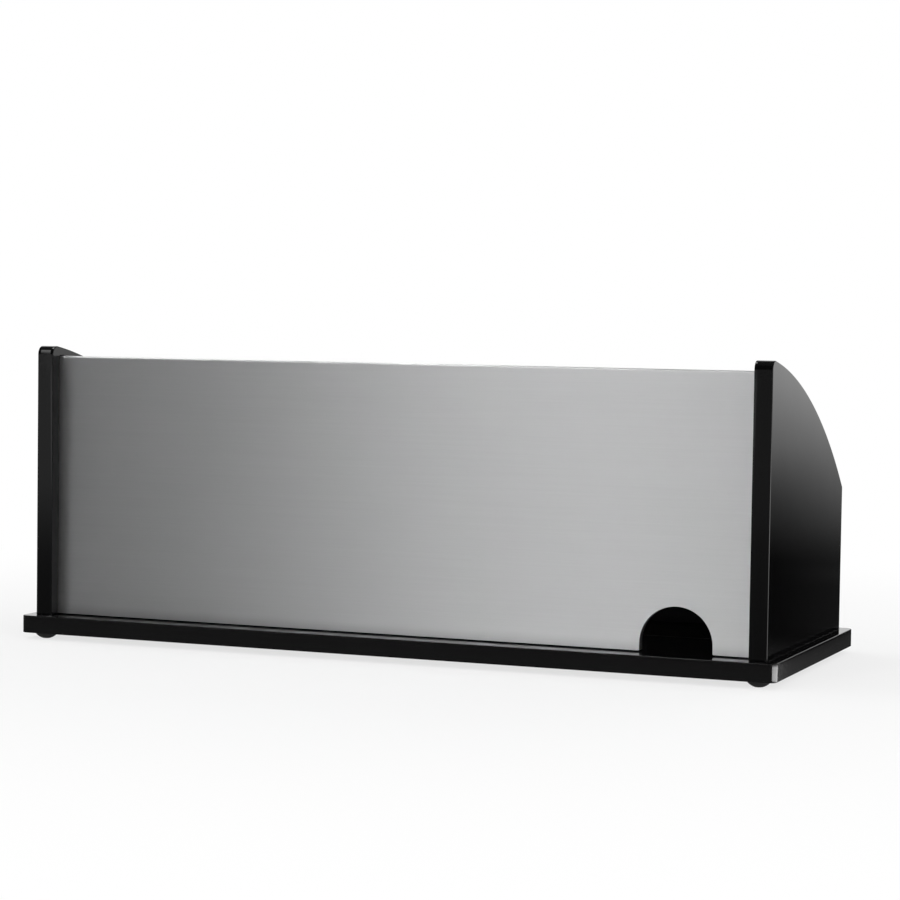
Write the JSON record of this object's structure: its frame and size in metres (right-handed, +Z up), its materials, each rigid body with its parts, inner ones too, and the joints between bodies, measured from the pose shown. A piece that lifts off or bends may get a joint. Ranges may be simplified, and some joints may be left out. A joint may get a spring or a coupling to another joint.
{
  "type": "desk sorter",
  "caption": "Desk sorter with gloss black curved end panels and divider on a black base, brushed aluminium panels at the rear and front, and an arched cable cut-out at the rear.",
  "frame": {"origin": "centre of the footprint, on the surface that the feet stand on", "axes": "+X along the length, to the right of someone sitting at the front; +Y to the tall rear; +Z up"},
  "size_m": [0.2688, 0.104, 0.1016],
  "materials": {
    "black_acrylic": "high-gloss black acrylic sheet with polished, eased edges",
    "brushed_aluminium": "satin, brushed along its length, with eased bright edges",
    "foot_rubber": "soft black bumper, satin",
    "screw_steel": "black-oxide countersunk steel"
  },
  "bodies": {
    "root": {"base_plate": "black_acrylic", "left_side_panel": "black_acrylic", "right_side_panel": "black_acrylic", "rear_panel": "brushed_aluminium", "middle_divider": "black_acrylic", "front_panel": "brushed_aluminium", "foot_rear_left": "foot_rubber", "screw_rear_left": "screw_steel", "foot_rear_right": "foot_rubber", "screw_rear_right": "screw_steel", "foot_front_left": "foot_rubber", "screw_front_left": "screw_steel", "foot_front_right": "foot_rubber", "screw_front_right": "screw_steel"}
  },
  "joints": []
}
